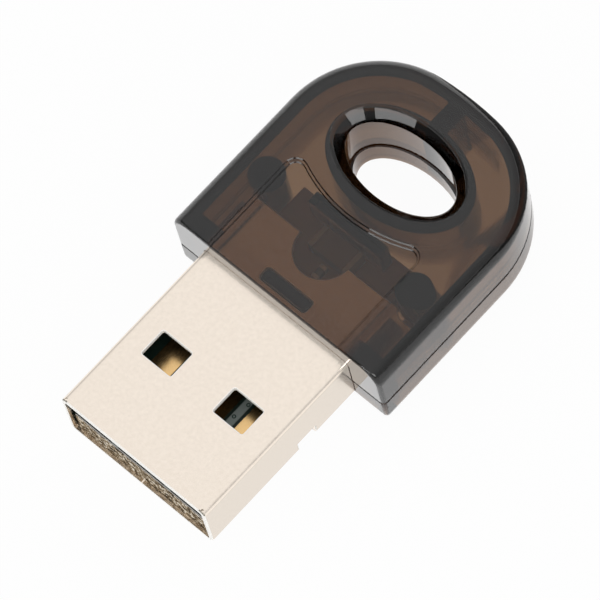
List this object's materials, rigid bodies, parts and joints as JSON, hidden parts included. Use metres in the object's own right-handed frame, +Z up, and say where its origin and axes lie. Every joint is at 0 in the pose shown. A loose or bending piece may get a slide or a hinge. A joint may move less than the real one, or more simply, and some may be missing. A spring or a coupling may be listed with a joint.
{
  "type": "usb bluetooth adapter",
  "caption": "Short USB-A plug in a ring-shaped see-through plastic housing with a key-ring hole, holding a small wireless radio board.",
  "frame": {"origin": "middle of the footprint, on the surface that the adapter lies on", "axes": "+X across the plug, +Y from the plug's mouth to the key-ring end, +Z up, away from the contacts' board"},
  "size_m": [0.0172, 0.0308, 0.0069],
  "materials": {
    "smoky_plastic": "polished, smoky brown, see-through",
    "nickel_plated_steel": "satin nickel plating",
    "board": "dark solder mask on glass fibre",
    "gold": "bright gold plating",
    "chip_resin": "matt moulded resin",
    "crystal_lid": "satin",
    "capacitor_ceramic": "fired, plated ends",
    "resistor_ceramic": "glazed top, plated ends",
    "inductor_ceramic": "fired, plated ends",
    "antenna_ceramic": "fired, plated ends",
    "solder": "bright"
  },
  "bodies": {
    "root": {"upper_housing": "smoky_plastic", "lower_housing": "smoky_plastic", "usb_shell": "nickel_plated_steel", "circuit_board": "board", "contact_pad_power": "gold", "contact_pad_data_minus": "gold", "contact_pad_data_plus": "gold", "contact_pad_ground": "gold", "radio_chip": "chip_resin", "crystal": "crystal_lid", "voltage_regulator": "chip_resin", "crystal_capacitor_left": "capacitor_ceramic", "crystal_capacitor_right": "capacitor_ceramic", "supply_capacitor_1": "capacitor_ceramic", "supply_capacitor_2": "capacitor_ceramic", "supply_capacitor_3": "capacitor_ceramic", "supply_capacitor_4": "capacitor_ceramic", "data_resistor_left": "resistor_ceramic", "data_resistor_right": "resistor_ceramic", "matching_inductor": "inductor_ceramic", "chip_antenna": "antenna_ceramic", "solder_joint_left": "solder", "solder_joint_right": "solder"}
  },
  "joints": []
}
